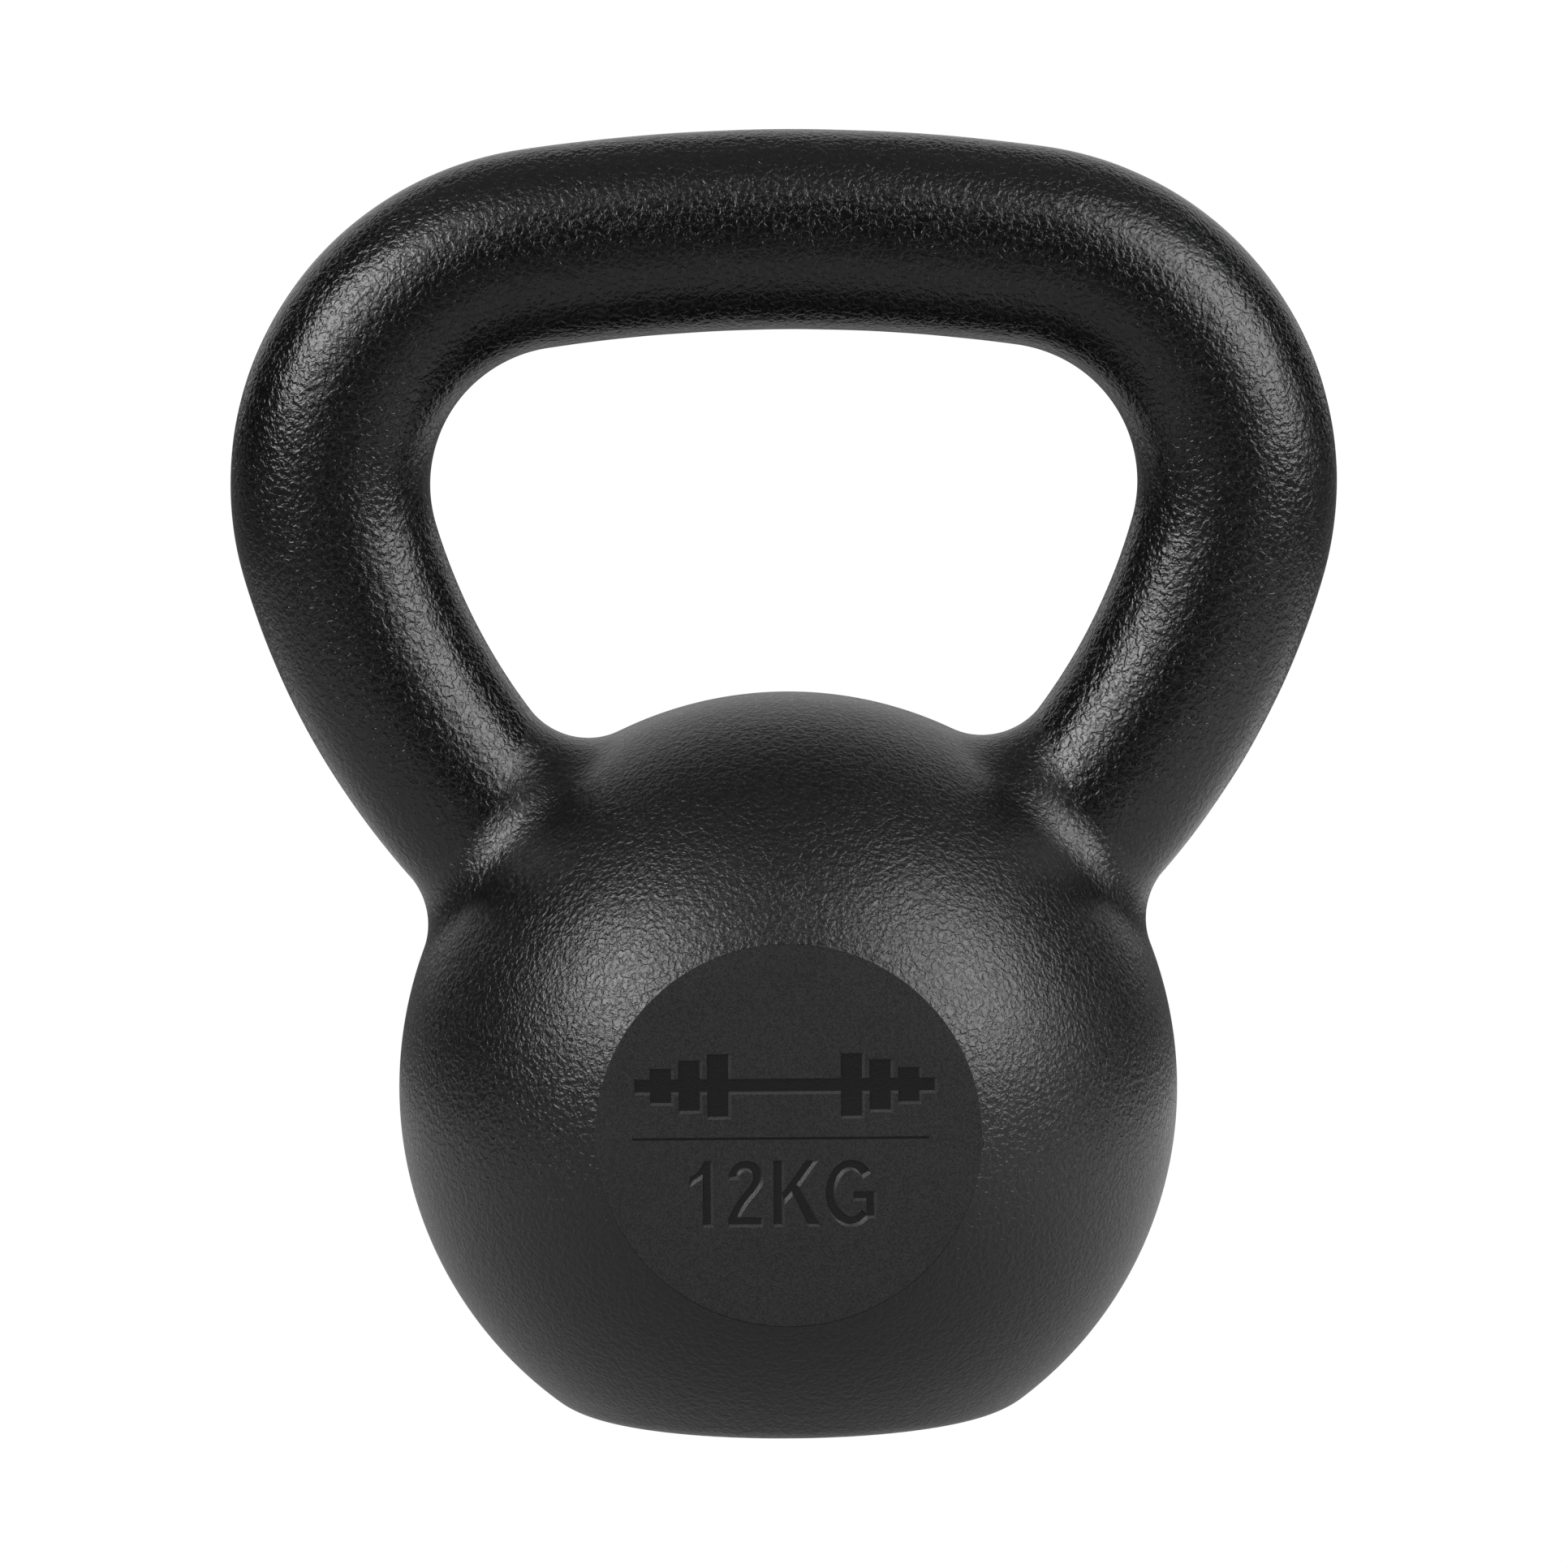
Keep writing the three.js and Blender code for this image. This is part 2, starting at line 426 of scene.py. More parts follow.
def lay_on(mesh: bpy.types.Mesh, settle: Mover, evenings: int) -> None:
    """Moves a mesh's vertices onto a surface, and evens out their spacing.

    Args:
        mesh: the mesh to move.
        settle: puts points on the surface.
        evenings: how many times each vertex is averaged with its neighbours and put back.
    """
    points = settle(vertices_of(mesh))
    ends = np.empty(len(mesh.edges) * 2, dtype=np.int64)
    mesh.edges.foreach_get("vertices", ends)
    ends = ends.reshape(-1, 2)
    counts = np.bincount(ends.ravel(), minlength=len(points))[:, None]
    for _ in range(evenings):
        sums = np.zeros_like(points)
        for axis in range(3):
            sums[:, axis] += np.bincount(ends[:, 0], points[ends[:, 1], axis], len(points))
            sums[:, axis] += np.bincount(ends[:, 1], points[ends[:, 0], axis], len(points))
        points = settle((points + sums / counts) / 2)
    mesh.vertices.foreach_set("co", points.ravel())
    mesh.update()


# --------------------------------------------------------------------------------------- finishes


@dataclass(frozen=True)
class PowderCoat:
    """Black powder coat with a fine wrinkle, with painted shade that darkens it between its crests."""

    name: str = "ball_powder_coat"
    # painted shade: the coat's colour in the wrinkle hollows
    hollow_shade: tuple[float, float, float] = (0.0030, 0.0030, 0.0032)
    crest: tuple[float, float, float] = (0.0060, 0.0060, 0.0063)
    roughness: float = 0.26
    roughness_spread: float = 0.08
    hollow_roughness: float = 0.05
    patch_size: float = 22 * MM
    wrinkle_size: float = 0.95 * MM
    wrinkle_depth: float = 0.090 * MM
    wrinkle_detail: float = 2.5
    wrinkle_twist: float = 0.55
    wrinkle_edges: tuple[float, float] = (0.32, 0.69)
    grain_size: float = 0.30 * MM
    grain_depth: float = 0.008 * MM
    swell_size: float = 9.0 * MM
    swell_depth: float = 0.10 * MM

    def material(self) -> bpy.types.Material:
        """The coat's material."""
        tree = ShaderTree(self.name)
        wrinkle = tree.noise(self.wrinkle_size, self.wrinkle_detail, distortion=self.wrinkle_twist)
        crests = wrinkle.between(*self.wrinkle_edges)
        grain = tree.noise(self.grain_size, detail=1.0)
        swell = tree.noise(self.swell_size, detail=1.0)
        patches = tree.noise(self.patch_size, detail=3.0) - 0.5
        normal = tree.bump(swell, self.swell_depth)
        normal = tree.bump(crests, self.wrinkle_depth, normal)
        normal = tree.bump(grain, self.grain_depth, normal)
        rough = self.roughness + self.roughness_spread * patches + self.hollow_roughness * (1 - crests)
        return tree.finish(
            {
                # Painted shade: darker colour in the wrinkle hollows, lighter on the crests.
                "Base Color": tree.blend(crests, self.hollow_shade, self.crest),
                "Roughness": rough,
                "IOR": COAT_IOR,
                "Normal": normal,
            }
        )


@dataclass(frozen=True)
class DiscFace:
    """Fine sand grain of the disc's face: matt and even, with painted shade that darkens the foot of the
    mark.
    """

    face_distance: float
    mark_depth: float
    name: str = "sanded_disc_face"
    dark: tuple[float, float, float] = (0.0004, 0.0004, 0.0005)
    light: tuple[float, float, float] = (0.0170, 0.0170, 0.0174)
    # painted shade at the foot of the mark
    foot: tuple[float, float, float] = (0.0020, 0.0020, 0.0021)
    roughness: float = 0.46
    roughness_spread: float = 0.10
    foot_gloss: float = 0.17
    foot_edges: tuple[float, float] = (0.85, 0.98)
    cloud_size: float = 14 * MM
    grain_size: float = 0.27 * MM
    grain_depth: float = 0.060 * MM
    grain_edges: tuple[float, float] = (0.3, 0.7)
    fleck_size: float = 0.8 * MM
    fleck_depth: float = 0.012 * MM

    def material(self) -> bpy.types.Material:
        """The face's material."""
        tree = ShaderTree(self.name)
        grain = tree.noise(self.grain_size, detail=2.0, roughness=0.6)
        fleck = tree.noise(self.fleck_size, detail=1.0)
        clouds = tree.noise(self.cloud_size) - 0.5
        outward = tree.node("ShaderNodeSeparateXYZ", {}, {0: tree.place()}, "Y").magnitude()
        foot_edges = [share * self.mark_depth for share in self.foot_edges]
        sunk = (self.face_distance - outward).between(*foot_edges)
        rough = self.roughness + self.roughness_spread * clouds - self.foot_gloss * sunk
        normal = tree.bump(grain, self.grain_depth)
        normal = tree.bump(fleck, self.fleck_depth, normal)
        face = tree.blend(grain.between(*self.grain_edges), self.dark, self.light)
        return tree.finish(
            {
                # Painted shade: the foot of the sunk mark is darker than the face.
                "Base Color": tree.blend(sunk, face, self.foot),
                "Roughness": rough,
                "IOR": COAT_IOR,
                "Normal": normal,
            }
        )


@dataclass(frozen=True)
class TurnedIron:
    """Bare grey iron with the fine rings of a lathe tool."""

    name: str = "turned_iron"
    dark: tuple[float, float, float] = (0.10, 0.10, 0.105)
    light: tuple[float, float, float] = (0.22, 0.22, 0.225)
    roughness: float = 0.40
    grime_roughness: float = 0.2
    metallic: float = 0.9
    grime_size: float = 4 * MM
    grime_edges: tuple[float, float] = (0.3, 0.7)
    ring_pitch: float = 0.6 * MM
    ring_depth: float = 0.02 * MM

    def material(self) -> bpy.types.Material:
        """The iron's material."""
        tree = ShaderTree(self.name)
        height = tree.node("ShaderNodeSeparateXYZ", {}, {0: tree.place()}, "Z")
        rings = height.maths("SINE", height * (2 * math.pi / self.ring_pitch))
        grime = tree.noise(self.grime_size, detail=4.0, roughness=0.6)
        clean = grime.between(*self.grime_edges)
        return tree.finish(
            {
                "Base Color": tree.blend(clean, self.dark, self.light),
                "Roughness": self.roughness + self.grime_roughness * grime,
                "Metallic": self.metallic,
                "Normal": tree.bump(rings * 0.5 + 0.5, self.ring_depth),
            }
        )


@dataclass(frozen=True)
class Glow:
    """A plain stage surface that shines by itself, unevenly from left to right if it is told to."""

    name: str
    middle: float
    left: float
    right: float
    colour: float = 0.05
    reach: float = 0.24
    roughness: float = 0.9
    mottle_size: float = 0.6
    mottle_shade: float = 0.98

    def material(self) -> bpy.types.Material:
        """The surface's material."""
        tree = ShaderTree(self.name)
        across = tree.node("ShaderNodeSeparateXYZ", {}, {0: tree.place()}, "X")
        rightward = across.between(0.0, self.reach)
        leftward = (0 - across).between(0.0, self.reach)
        glow = tree.blend(leftward, (self.middle,) * 3, (self.left,) * 3)
        glow = tree.blend(rightward, glow, (self.right,) * 3)
        mottle = tree.noise(self.mottle_size, detail=1.0)
        dull = self.mottle_shade * self.colour
        return tree.finish(
            {
                "Base Color": tree.blend(mottle, (dull,) * 3, (self.colour,) * 3),
                "Roughness": self.roughness,
                "Specular IOR Level": 0.0,
                "Emission Color": glow,
                "Emission Strength": 1.0,
            }
        )


# ------------------------------------------------------------------------------------- the pieces


@dataclass(frozen=True)
class Arc:
    """One arc of the handle's centreline: its radius and how far it turns downwards."""

    radius: float
    degrees: float


@dataclass
class Centreline:
    """The handle's centreline, a chain of tangent arcs from the middle of the grip to each root."""

    grip_height: float
    arcs: tuple[Arc, ...] = (Arc(306 * MM, 8.3), Arc(42.5 * MM, 97.6), Arc(122.7 * MM, 38.5))

    def leg(self, spacing: float) -> list[tuple[float, float]]:
        """Half of the centreline, from the grip's middle to the right root.

        Args:
            spacing: about how far apart the points are.

        Returns:
            The points' X and Z.
        """
        x, z, heading = 0.0, self.grip_height, 0.0
        points = [(x, z)]
        for arc in self.arcs:
            turn = math.radians(arc.degrees)
            steps = max(2, round(arc.radius * turn / spacing))
            for step in range(1, steps + 1):
                after = heading + turn * step / steps
                points.append(
                    (
                        x + arc.radius * (math.sin(after) - math.sin(heading)),
                        z - arc.radius * (math.cos(heading) - math.cos(after)),
                    )
                )
            x, z = points[-1]
            heading += turn
        return points

    def points(self, spacing: float) -> list[tuple[float, float, float]]:
        """The whole centreline, from the left root to the right one."""
        leg = self.leg(spacing)
        left = [(-x, 0.0, z) for x, z in reversed(leg)]
        return left + [(x, 0.0, z) for x, z in leg[1:]]

    def root_circle(self) -> tuple[float, float, float]:
        """The circle that the right leg's last arc lies on: its centre's X and Z, and its radius."""
        start_x, start_z = Centreline(self.grip_height, self.arcs[:-1]).leg(1.0)[-1]
        heading = math.radians(sum(arc.degrees for arc in self.arcs[:-1]))
        radius = self.arcs[-1].radius
        return start_x - radius * math.sin(heading), start_z - radius * math.cos(heading), radius


@dataclass
class Handle:
    """The round bar, bent along its centreline, with its two roots inside the bell."""

    line: Centreline
    bar_radius: float
    sides: int = 112
    spacing: float = 0.95 * MM
    unevenness: float = 0.16 * MM
    unevenness_size: float = 17 * MM
    sharp_angle: float = 40

    def swept(
        self,
        name: str,
        radius: float,
        unevenness: float = 0.0,
        finish: Optional[bpy.types.Material] = None,
    ) -> bpy.types.Object:
        """The bar as one closed skin.

        Args:
            name: the piece's name.
            radius: the bar's radius.
            unevenness: how far its skin wanders in and out.
            finish: its finish, which a cutter has no need of.

        Returns:
            The piece.
        """
        points = self.line.points(self.spacing)
        edges = [(i, i + 1) for i in range(len(points) - 1)]
        piece = new_piece(name, mesh_of(name, points, edges, []))
        shape = ShapeTree(name + "_sweep")
        radius_in = shape.named("Bar Radius", "NodeSocketFloat", radius)
        sides_in = shape.named("Sides", "NodeSocketInt", self.sides)
        uneven_in = shape.named("Unevenness", "NodeSocketFloat", unevenness)
        finish_in = shape.named("Finish", "NodeSocketMaterial", finish)
        path = shape.node("GeometryNodeMeshToCurve", {"Mesh": shape.entry.outputs[0]})
        round_section = {"Resolution": sides_in, "Radius": radius_in}
        section = shape.node("GeometryNodeCurvePrimitiveCircle", round_section)
        sweep = {"Curve": path, "Profile Curve": section, "Fill Caps": True}
        skin = shape.node("GeometryNodeCurveToMesh", sweep)
        wander = shape.node("ShaderNodeTexNoise", {"Scale": 1 / self.unevenness_size, "Detail": 1.0})
        centred = shape.node("ShaderNodeMath", {0: wander, 1: 0.5}, operation="SUBTRACT")
        depth = shape.node("ShaderNodeMath", {0: centred, 1: uneven_in}, operation="MULTIPLY")
        normal = shape.node("GeometryNodeInputNormal", {})
        offset = shape.node("ShaderNodeVectorMath", {0: normal, "Scale": depth}, operation="SCALE")
        moved = shape.node("GeometryNodeSetPosition", {"Geometry": skin, "Offset": offset})
        shape.apply(piece, moved, finish_in)
        return piece

    def build(self, finish: bpy.types.Material) -> bpy.types.Object:
        """The finished handle."""
        piece = self.swept("grip_bar", self.bar_radius, self.unevenness, finish)
        smooth(piece, self.sharp_angle)
        return piece


@dataclass
class Ball:
    """The ball with its slightly taller upper half and its flat, rounded base."""

    radius: float
    centre_height: float
    upper_stretch: float
    base_edge: float = 12 * MM

    def reach(self, directions: Points) -> Points:
        """How far the ball's skin is from its centre in unit directions, for the round part."""
        stretch = np.where(directions[:, 2] > 0, self.upper_stretch, 1.0)
        across = directions[:, 0] ** 2 + directions[:, 1] ** 2
        return self.radius / np.sqrt(across + (directions[:, 2] / stretch) ** 2)

    def settle(self, points: Points) -> Points:
        """Points put on the ball's skin.

        Args:
            points: places near it.

        Returns:
            The nearest places on the round part, the rounded edge or the base.
        """
        centre = np.array([0.0, 0.0, self.centre_height])
        away = points - centre
        away = away / np.linalg.norm(away, axis=1, keepdims=True)
        ball = centre + away * self.reach(away)[:, None]
        drop = self.centre_height - self.base_edge
        flat = math.sqrt((self.radius - self.base_edge) ** 2 - drop**2)
        across = np.maximum(np.hypot(points[:, 0], points[:, 1]), TINY)
        outward = np.stack([points[:, 0] / across, points[:, 1] / across, 0 * across], axis=1)
        ring = outward * flat + np.array([0.0, 0.0, self.base_edge])
        spoke = points - ring
        length = np.maximum(np.linalg.norm(spoke, axis=1, keepdims=True), TINY)
        edge = ring + spoke * (self.base_edge / length)
        base = points * np.array([1.0, 1.0, 0.0])
        below = points[:, 2] < self.centre_height
        under = below & (across * drop < (self.centre_height - points[:, 2]) * flat)
        low = np.where((across > flat)[:, None], edge, base)
        return np.where(under[:, None], low, ball)

    def profile(self, rings: int) -> list[tuple[float, float]]:
        """A coarse outline of the ball, upwards, cut off at the base."""
        profile = [(0.0, 0.0)]
        for ring in range(1, rings):
            angle = math.pi * (ring / rings - 0.5)
            stretch = self.upper_stretch if angle > 0 else 1.0
            height = self.centre_height + self.radius * math.sin(angle) * stretch
            if height > 0:
                profile.append((self.radius * math.cos(angle), height))
        return profile + [(0.0, self.centre_height + self.radius * self.upper_stretch)]


@dataclass
class Collars:
    """The fillets between the ball and the legs: the paths of balls rolled round the bar.

    The fillets are wide in the plane of the handle and tighter at the front and the rear, where they
    also meet the bar at a slight crease.
    """

    ball: Ball
    line: Centreline
    bar_radius: float
    side_radius: float = 13.5 * MM
    front_radius: float = 11.0 * MM
    side_bite: float = 0.05 * MM
    front_bite: float = 0.16 * MM
    hidden_depth: float = 0.9 * MM
    samples: int = 540
    clear_angle: float = -0.28
    buried_angle: float = -0.95
    halvings: int = 40
    batch: int = 4000

    def __post_init__(self) -> None:
        """Rolls the right leg's ball once round the bar."""
        self.x, self.z, self.bend = self.line.root_circle()
        angle = np.linspace(0, 2 * math.pi, self.samples, endpoint=False)
        side = np.cos(angle) ** 2
        self.radius = self.front_radius + (self.side_radius - self.front_radius) * side
        bite = self.front_bite + (self.side_bite - self.front_bite) * side
        distance = self.bar_radius + self.radius - bite
        far = np.full(self.samples, self.clear_angle)
        near = np.full(self.samples, self.buried_angle)
        for _ in range(self.halvings):
            middle = (far + near) / 2
            centre, _ = self.beside(middle, angle, distance)
            away = centre - np.array([0.0, 0.0, self.ball.centre_height])
            length = np.linalg.norm(away, axis=1)
            clear = length > self.ball.reach(away / length[:, None]) + self.radius
            far = np.where(clear, middle, far)
            near = np.where(clear, near, middle)
        self.centre, outward = self.beside((far + near) / 2, angle, distance)
        to_ball = np.array([0.0, 0.0, self.ball.centre_height]) - self.centre
        self.to_ball = to_ball / np.linalg.norm(to_ball, axis=1, keepdims=True)
        self.to_bar = -outward
        path = np.roll(self.centre, -1, axis=0) - np.roll(self.centre, 1, axis=0)
        self.path = path / np.linalg.norm(path, axis=1, keepdims=True)

    def beside(self, along: Points, angle: Points, distance: Points) -> tuple[Points, Points]:
        """Places beside the right leg.

        Args:
            along: angles on the circle of the leg's centreline.
            angle: angles round the bar, 0 on the leg's outer side.
            distance: distances from the centreline.

        Returns:
            The places, and the directions from the centreline to them.
        """
        none = np.zeros_like(along)
        spoke = np.stack([np.cos(along), none, np.sin(along)], axis=1)
        outward = spoke * np.cos(angle)[:, None]
        outward[:, 1] += np.sin(angle)
        axis = np.array([self.x, 0.0, self.z]) + self.bend * spoke
        return axis + outward * distance[:, None], outward

    def on_bar(self, points: Points) -> Points:
        """Points put a little under the bar's skin, where the sockets are cut."""
        spoke = points - np.array([self.x, 0.0, self.z])
        spoke[:, 1] = 0
        spoke /= np.linalg.norm(spoke, axis=1, keepdims=True)
        axis = np.array([self.x, 0.0, self.z]) + self.bend * spoke
        away = points - axis
        away /= np.linalg.norm(away, axis=1, keepdims=True)
        return axis + away * (self.bar_radius - self.hidden_depth)

    def settle(self, points: Points) -> Points:
        """Points put on the bell's whole skin.

        Args:
            points: places near it, on either leg's side.

        Returns:
            Each point's place on the ball, on a fillet or on a leg.
        """
        side = np.where(points[:, :1] < 0, -1.0, 1.0)
        mirror = np.hstack([side, np.ones((len(points), 2))])
        folded = points * mirror
        nearest = self.nearest(folded)
        centre, path = self.centre[nearest], self.path[nearest]
        to_bar, to_ball = self.to_bar[nearest], self.to_ball[nearest]
        offset = folded - centre
        slide = (offset * path).sum(axis=1, keepdims=True)
        spoke = offset - slide * path
        spoke /= np.maximum(np.linalg.norm(spoke, axis=1, keepdims=True), TINY)
        spread = (to_bar * to_ball).sum(axis=1)
        bar_part = (spoke * to_bar).sum(axis=1)
        ball_part = (spoke * to_ball).sum(axis=1)
        toward_bar = bar_part - spread * ball_part
        toward_ball = ball_part - spread * bar_part
        fillet = centre + slide * path + self.radius[nearest][:, None] * spoke
        settled = np.where((toward_ball < 0)[:, None], self.on_bar(folded), fillet)
        settled = np.where((toward_bar < 0)[:, None], self.ball.settle(folded), settled)
        return settled * mirror

    def nearest(self, points: Points) -> Points:
        """The sample of the rolled ball's path that is nearest to each point."""
        found = np.empty(len(points), dtype=np.int64)
        own = (self.centre**2).sum(axis=1)
        for start in range(0, len(points), self.batch):
            part = points[start : start + self.batch]
            gaps = (part**2).sum(axis=1)[:, None] - 2 * part @ self.centre.T + own
            found[start : start + self.batch] = gaps.argmin(axis=1)
        return found


class Side(Enum):
    """Which way a disc faces: the quarter turns that carry +Z to it."""

    FRONT = 1
    REAR = -1

    def placed(self, mesh: bpy.types.Mesh, height: float) -> bpy.types.Mesh:
        """Turns a mesh made round Z so that it faces this way, at a height."""
        turn = Matrix.Rotation(self.value * math.pi / 2, 4, "X")
        mesh.transform(Matrix.Translation((0, 0, height)) @ turn)
        return mesh


@dataclass
class Bell:
    """The ball with its collars, cut for the bar, the discs, the plug and the slug."""

    ball: Ball
    handle: Handle
    seats: tuple[tuple[float, float], ...]
    disc_height: float
    plug_radius: float
    plug_top: float
    bore_radius: float
    bore_top: float
    mesh_size: float = 1.0 * MM
    evenings: int = 8
    rings: int = 90
    sides: int = 180
    stub_bottom: float = 0.98
    lid_reach: float = 0.3
    lid_top: float = 0.4
    lid_sides: int = 24
    socket_overlap: float = 0.05 * MM
    clearance: float = 5 * MM
    seat_sides: int = 256
    bore_sides: int = 96
    sharp_angle: float = 30

    def rough_shape(self) -> bpy.types.Object:
        """The ball and the two leg stubs as one body of even quads."""
        rough = turned("iron_bell", self.ball.profile(self.rings), self.sides)
        piece = new_piece("iron_bell", rough)
        stubs = self.handle.swept("stubs", self.handle.bar_radius)
        bottom = self.ball.centre_height + self.stub_bottom * self.ball.radius
        reach, top = self.lid_reach, self.lid_top
        lid = [(0.0, bottom), (reach, bottom), (reach, top), (0.0, top)]
        cut(stubs, [new_piece("lid", turned("lid", lid, self.lid_sides))])
        join = piece.modifiers.new("join", "BOOLEAN")
        join.operation = "UNION"
        join.solver = "MANIFOLD"
        join.object = stubs
        even = piece.modifiers.new("even", "REMESH")
        even.mode = "VOXEL"
        even.voxel_size = self.mesh_size
        bake_modifiers(piece)
        discard(stubs)
        return piece

    def build(self, finish: bpy.types.Material) -> bpy.types.Object:
        """The finished bell.

        Args:
            finish: its coat.

        Returns:
            The piece.
        """
        piece = self.rough_shape()
        collars = Collars(self.ball, self.handle.line, self.handle.bar_radius)
        lay_on(piece.data, collars.settle, self.evenings)
        socket = self.handle.swept("socket", self.handle.bar_radius - self.socket_overlap)
        cut(piece, [socket, *self.disc_seats(), self.bore()])
        dress(piece, finish)
        smooth(piece, self.sharp_angle)
        return piece

    def disc_seats(self) -> list[bpy.types.Object]:
        """The two round cutters for the discs' seats."""
        outside = self.ball.radius + self.clearance
        cutters = []
        for side, (radius, floor) in zip(Side, self.seats):
            profile = [(0.0, floor), (radius, floor), (radius, outside), (0.0, outside)]
            seat = side.placed(turned("seat", profile, self.seat_sides), self.disc_height)
            cutters.append(new_piece(side.name, seat))
        return cutters

    def bore(self) -> bpy.types.Object:
        """The stepped cutter for the plug and the slug."""
        profile = [
            (0.0, -self.clearance),
            (self.plug_radius, -self.clearance),
            (self.plug_radius, self.plug_top),
            (self.bore_radius, self.plug_top),
            (self.bore_radius, self.bore_top),
            (0.0, self.bore_top),
        ]
        return new_piece("bore", turned("bore", profile, self.bore_sides))


@dataclass
class WeightDisc:
    """A round disc let into the ball, with a rounded rim and, on the front one, a cast mark."""

    side: Side
    radius: float
    face_distance: float
    thickness: float
    centre_height: float
    rim: float = 0.06 * MM
    rim_steps: int = 5
    sides: int = 256
    sharp_angle: float = 18

    @property
    def back(self) -> float:
        """The distance of the disc's rear face from the ball's middle."""
        return self.face_distance - self.thickness

    def blank(self, name: str) -> bpy.types.Object:
        """The disc with no mark, still facing up round Z."""
        profile = [(0.0, self.back), (self.radius, self.back)]
        for step in range(self.rim_steps + 1):
            angle = (math.pi / 2) * step / self.rim_steps
            reach = self.radius - self.rim * (1 - math.cos(angle))
            profile.append((reach, self.face_distance - self.rim * (1 - math.sin(angle))))
        profile.append((0.0, self.face_distance))
        return new_piece(name, turned(name, profile, self.sides))

    def build(
        self, name: str, finish: bpy.types.Material, mark: Optional["Mark"] = None
    ) -> bpy.types.Object:
        """The finished disc.

        Args:
            name: the piece's name.
            finish: its face's material.
            mark: what is cut into its face, if anything.

        Returns:
            The piece.
        """
        piece = self.blank(name)
        if mark is not None:
            cut(piece, mark.cutters(self.face_distance))
        self.side.placed(piece.data, self.centre_height)
        dress(piece, finish)
        smooth(piece, self.sharp_angle)
        return piece


def inset(outline: Points, amount: float) -> Points:
    """An anticlockwise outline moved inwards.

    Args:
        outline: its corners, in the plane.
        amount: how far each side moves.

    Returns:
        The moved corners.
    """
    side = np.roll(outline, -1, axis=0) - outline
    side /= np.linalg.norm(side, axis=1, keepdims=True)
    after = np.stack([-side[:, 1], side[:, 0]], axis=1)
    before = np.roll(after, 1, axis=0)
    mitre = (before + after) / (1 + (before * after).sum(axis=1, keepdims=True))
    return outline + amount * mitre


def ribbon(path: Points, width: float) -> Points:
    """The anticlockwise outline of a stroke of even width along a path."""
    step = np.gradient(path, axis=0)
    step /= np.linalg.norm(step, axis=1, keepdims=True)
    left = np.stack([-step[:, 1], step[:, 0]], axis=1) * width / 2
    return np.vstack([path - left, (path + left)[::-1]])


def arc(
    x: float, y: float, across: float, up: float, start: float, end: float, steps: int = 40
) -> Points:
    """Points on part of an ellipse, from one angle to another in degrees."""
    angle = np.radians(np.linspace(start, end, steps))
    return np.stack([x + across * np.cos(angle), y + up * np.sin(angle)], axis=1)


def block(x: float, y: float, width: float, height: float) -> Points:
    """An anticlockwise rectangle from its lower left corner."""
    return np.array([(x, y), (x + width, y), (x + width, y + height), (x, y + height)])


@dataclass
class Numerals:
    """Plain sans-serif strokes of the weight, in units of the height of a capital."""

    stroke: float = 0.158

    def one(self) -> list[Points]:
        """The figure 1."""
        stem = [(0.194, 0), (0.353, 0), (0.353, 1), (0.225, 1)]
        flag = [(0.125, 0.84), (0, 0.747), (0, 0.608), (0.194, 0.735)]
        return [np.array(stem + flag)]

    def two(self) -> list[Points]:
        """The figure 2."""
        bowl = arc(0.271, 0.741, 0.182, 0.182, 188, -35)
        slope = np.array([(0.36, 0.545), (0.25, 0.42), (0.15, 0.27), (0.085, 0.12), (0.07, 0.05)])
        return [ribbon(np.vstack([bowl, slope])[::-1], self.stroke), block(0.0, 0.0, 0.53, 0.152)]

    def letter_k(self) -> list[Points]:
        """The letter K."""
        right = [(0.51, 0), (0.714, 0), (0.388, 0.608), (0.673, 1), (0.48, 1)]
        left = [(0.12, 0.5), (0.163, 0.335), (0.286, 0.476)]
        return [block(0, 0, 0.163, 1), np.array(right + left)]

    def letter_g(self) -> list[Points]:
        """The letter G."""
        bowl = arc(0.378, 0.5, 0.30, 0.424, 38, 316, 72)
        tongue = block(0.41, 0.385, 0.345, 0.148)
        return [ribbon(bowl, self.stroke), tongue, block(0.60, 0.12, 0.155, 0.38)]

    def outlines(self) -> list[Points]:
        """Every stroke of the weight, from x = 0."""
        starts = (0.0, 0.571, 1.245, 2.02)
        signs = (self.one(), self.two(), self.letter_k(), self.letter_g())
        return [outline + (x, 0.0) for x, sign in zip(starts, signs) for outline in sign]


